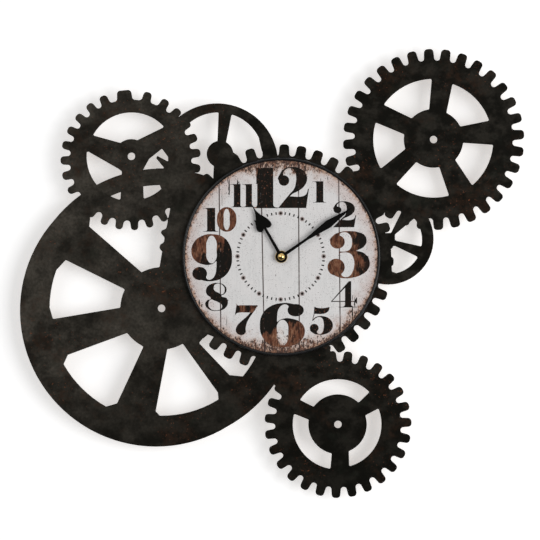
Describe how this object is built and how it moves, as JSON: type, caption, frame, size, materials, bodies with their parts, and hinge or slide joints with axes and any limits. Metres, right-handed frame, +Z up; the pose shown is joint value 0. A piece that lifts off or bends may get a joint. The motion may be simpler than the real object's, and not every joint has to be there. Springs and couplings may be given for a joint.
{
  "type": "gear wall clock",
  "caption": "Wall clock: round plank dial with bold numbers and two hands on a dark board cut as overlapping clock wheels, with a battery movement and a keyhole hanger.",
  "frame": {"origin": "centre of the keyhole opening of the hanger, on the wall plane", "axes": "-Y out of the wall towards the viewer, +X to the viewer's right, +Z up"},
  "size_m": [0.6002, 0.039, 0.5345],
  "materials": {
    "dark_board": "painted board, matte and mottled",
    "dial_print": "printed planks, satin",
    "black_gloss": "gloss",
    "brass": "satin",
    "black_steel": "satin black",
    "rubber": "matte",
    "hand_black": "satin black",
    "case_plastic": "fine texture",
    "white_plastic": "moulded",
    "magnet": "matte",
    "steel": "satin",
    "copper": "enamelled wire",
    "circuit": "plain laminate",
    "cell_wrap": "satin wrap",
    "raw_wood": "raw",
    "felt": "felt"
  },
  "bodies": {
    "clock": {"gear_board": "dark_board", "dial_board": "dial_print", "dial_rim": "black_gloss", "brass_washer": "brass", "mounting_nut": "black_steel", "threaded_bush": "brass", "rubber_washer": "rubber", "movement_front_case": "case_plastic", "rear_cover": "case_plastic", "gear_bridge": "white_plastic", "stator_plate": "steel", "coil_core": "steel", "coil_bobbin": "white_plastic", "coil_winding": "copper", "circuit_board": "circuit", "quartz_crystal": "steel", "contact_negative": "steel", "contact_positive": "steel", "hanger_block": "raw_wood", "hanger_plate": "steel", "hanger_screws": "steel", "felt_pads": "felt", "left_spacer": "raw_wood", "right_spacer": "raw_wood"},
    "minute": {"minute_arbor": "brass", "minute_hand": "hand_black", "cap_nut": "brass"},
    "hour": {"hour_wheel": "white_plastic", "hour_hand": "hand_black"},
    "motion": {"motion_wheel": "white_plastic"},
    "knob": {"setting_knob": "white_plastic"},
    "seconds": {"seconds_wheel": "white_plastic"},
    "third": {"third_wheel": "white_plastic"},
    "centre": {"centre_wheel": "white_plastic"},
    "fifth": {"fifth_wheel": "white_plastic"},
    "rotor": {"rotor_pinion": "white_plastic", "rotor_magnet": "magnet"},
    "battery": {"battery_cell": "cell_wrap"}
  },
  "joints": [
    {"name": "minute_turn", "type": "hinge", "parent": "clock", "child": "minute", "pos_m": [0.019, 0, -0.082], "axis": [0, 1, 0], "continuous": true},
    {"name": "hour_turn", "type": "hinge", "parent": "clock", "child": "hour", "pos_m": [0.019, 0, -0.082], "axis": [0, 1, 0], "continuous": true},
    {"name": "motion_turn", "type": "hinge", "parent": "clock", "child": "motion", "pos_m": [0.0142, 0, -0.07369], "axis": [0, 1, 0], "continuous": true},
    {"name": "knob_turn", "type": "hinge", "parent": "clock", "child": "knob", "pos_m": [0.0094, 0, -0.06537], "axis": [0, 1, 0], "continuous": true},
    {"name": "seconds_turn", "type": "hinge", "parent": "clock", "child": "seconds", "pos_m": [0.019, 0, -0.082], "axis": [0, 1, 0], "continuous": true},
    {"name": "third_turn", "type": "hinge", "parent": "clock", "child": "third", "pos_m": [0.01093, 0, -0.08129], "axis": [0, 1, 0], "continuous": true},
    {"name": "centre_turn", "type": "hinge", "parent": "clock", "child": "centre", "pos_m": [0.019, 0, -0.082], "axis": [0, 1, 0], "continuous": true},
    {"name": "fifth_turn", "type": "hinge", "parent": "clock", "child": "fifth", "pos_m": [0.0244, 0, -0.07557], "axis": [0, 1, 0], "continuous": true},
    {"name": "rotor_turn", "type": "hinge", "parent": "clock", "child": "rotor", "pos_m": [0.028, 0, -0.06933], "axis": [0, 1, 0], "continuous": true},
    {"name": "battery_out", "type": "slide", "parent": "clock", "child": "battery", "axis": [0, 1, 0], "range_m": [0, 0.018]}
  ],
  "couplings": [
    {"joint": "hour_turn", "follows": "minute_turn", "ratio": 0.083333},
    {"joint": "motion_turn", "follows": "minute_turn", "ratio": -0.33333},
    {"joint": "knob_turn", "follows": "minute_turn", "ratio": 1},
    {"joint": "third_turn", "follows": "seconds_turn", "ratio": -0.13333},
    {"joint": "centre_turn", "follows": "seconds_turn", "ratio": 0.016667},
    {"joint": "fifth_turn", "follows": "seconds_turn", "ratio": -6},
    {"joint": "rotor_turn", "follows": "seconds_turn", "ratio": 30}
  ]
}
